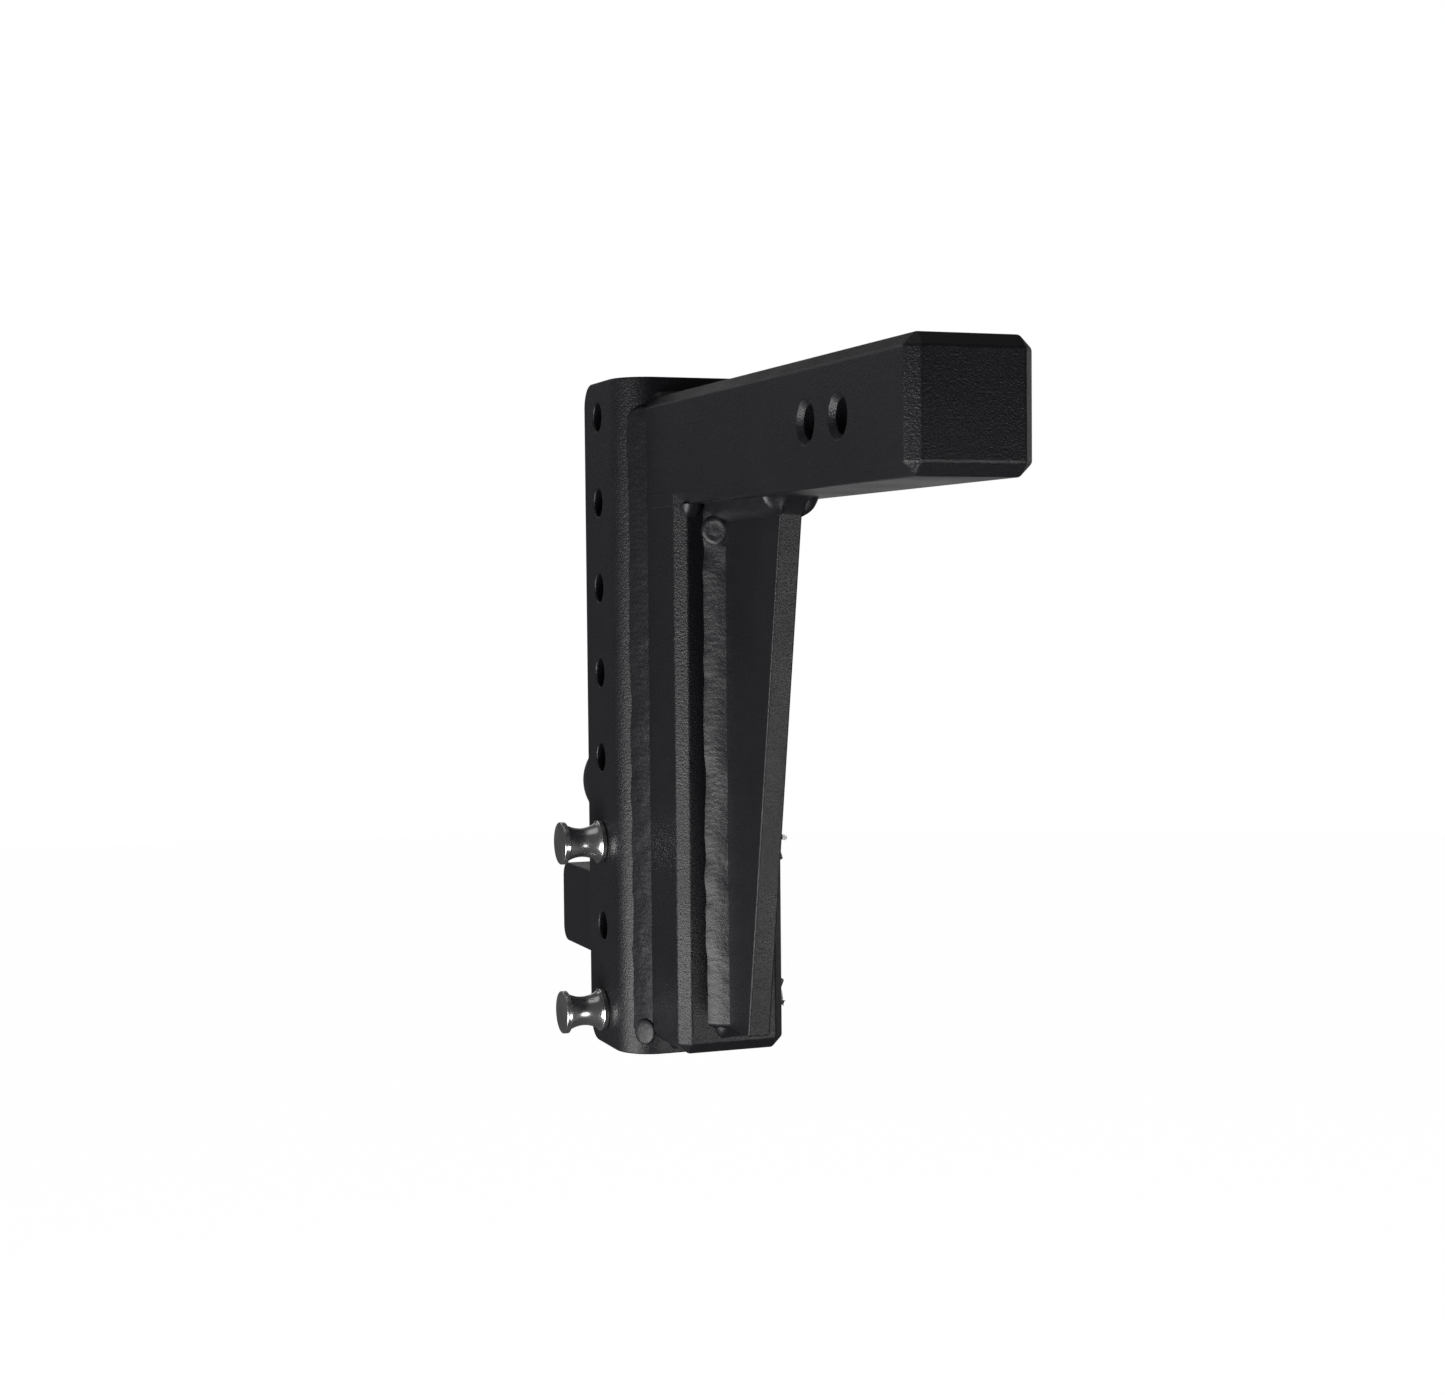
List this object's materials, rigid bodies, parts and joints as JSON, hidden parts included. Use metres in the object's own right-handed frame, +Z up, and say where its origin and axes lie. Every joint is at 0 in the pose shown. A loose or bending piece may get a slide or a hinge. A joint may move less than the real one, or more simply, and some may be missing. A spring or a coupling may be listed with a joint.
{
  "type": "adjustable drop hitch with ball mount",
  "caption": "Heavy drop hitch: square receiver shank, gusseted riser and drilled channel holding a pinned dual-ball mount.",
  "frame": {"origin": "centre of the shank's end face, the end that enters the vehicle's receiver", "axes": "+Y from the vehicle towards the trailer, +Z up, +X to the right when looking along +Y"},
  "size_m": [0.1406, 0.5335, 0.414],
  "materials": {
    "powder_coat": "fine-textured satin black powder coat over steel",
    "ball_steel": "smooth satin black coating on forged steel",
    "washer_steel": "plated spring steel",
    "stainless": "turned and polished stainless steel",
    "spring_wire": "bright plated spring wire"
  },
  "bodies": {
    "hitch": {"channel": "powder_coat", "shank": "powder_coat", "riser_bar": "powder_coat", "gusset_plate": "powder_coat", "channel_weld_left": "powder_coat", "channel_weld_right": "powder_coat", "shank_top_weld": "powder_coat", "riser_bottom_weld": "powder_coat", "riser_top_weld_left": "powder_coat", "riser_top_weld_right": "powder_coat", "gusset_side_weld_left": "powder_coat", "gusset_side_weld_right": "powder_coat", "gusset_top_weld_left": "powder_coat", "gusset_top_weld_right": "powder_coat", "gusset_front_weld": "powder_coat", "gusset_bottom_weld": "powder_coat", "ball_mount_block": "powder_coat", "ball_platform": "powder_coat", "platform_weld_top": "powder_coat", "platform_weld_bottom": "powder_coat", "upper_ball": "ball_steel", "lower_ball": "ball_steel", "upper_lock_washer": "washer_steel", "lower_lock_washer": "washer_steel"},
    "upper_pin": {"upper_pin": "stainless"},
    "lower_pin": {"lower_pin": "stainless"},
    "upper_clip": {"upper_clip": "spring_wire"},
    "lower_clip": {"lower_clip": "spring_wire"}
  },
  "joints": [
    {"name": "upper_pin_slide", "type": "slide", "parent": "hitch", "child": "upper_pin", "axis": [-1, 0, 0], "range_m": [0, 0.12]},
    {"name": "lower_pin_slide", "type": "slide", "parent": "hitch", "child": "lower_pin", "axis": [-1, 0, 0], "range_m": [0, 0.12]},
    {"name": "upper_clip_slide", "type": "slide", "parent": "hitch", "child": "upper_clip", "axis": [0, 1, 0], "range_m": [0, 0.06], "deforming": ["upper_clip"]},
    {"name": "lower_clip_slide", "type": "slide", "parent": "hitch", "child": "lower_clip", "axis": [0, 1, 0], "range_m": [0, 0.06], "deforming": ["lower_clip"]}
  ],
  "couplings": [
    {"joint": "upper_clip_slide", "follows": "upper_pin_slide", "ratio": 0.5},
    {"joint": "lower_clip_slide", "follows": "lower_pin_slide", "ratio": 0.5}
  ]
}
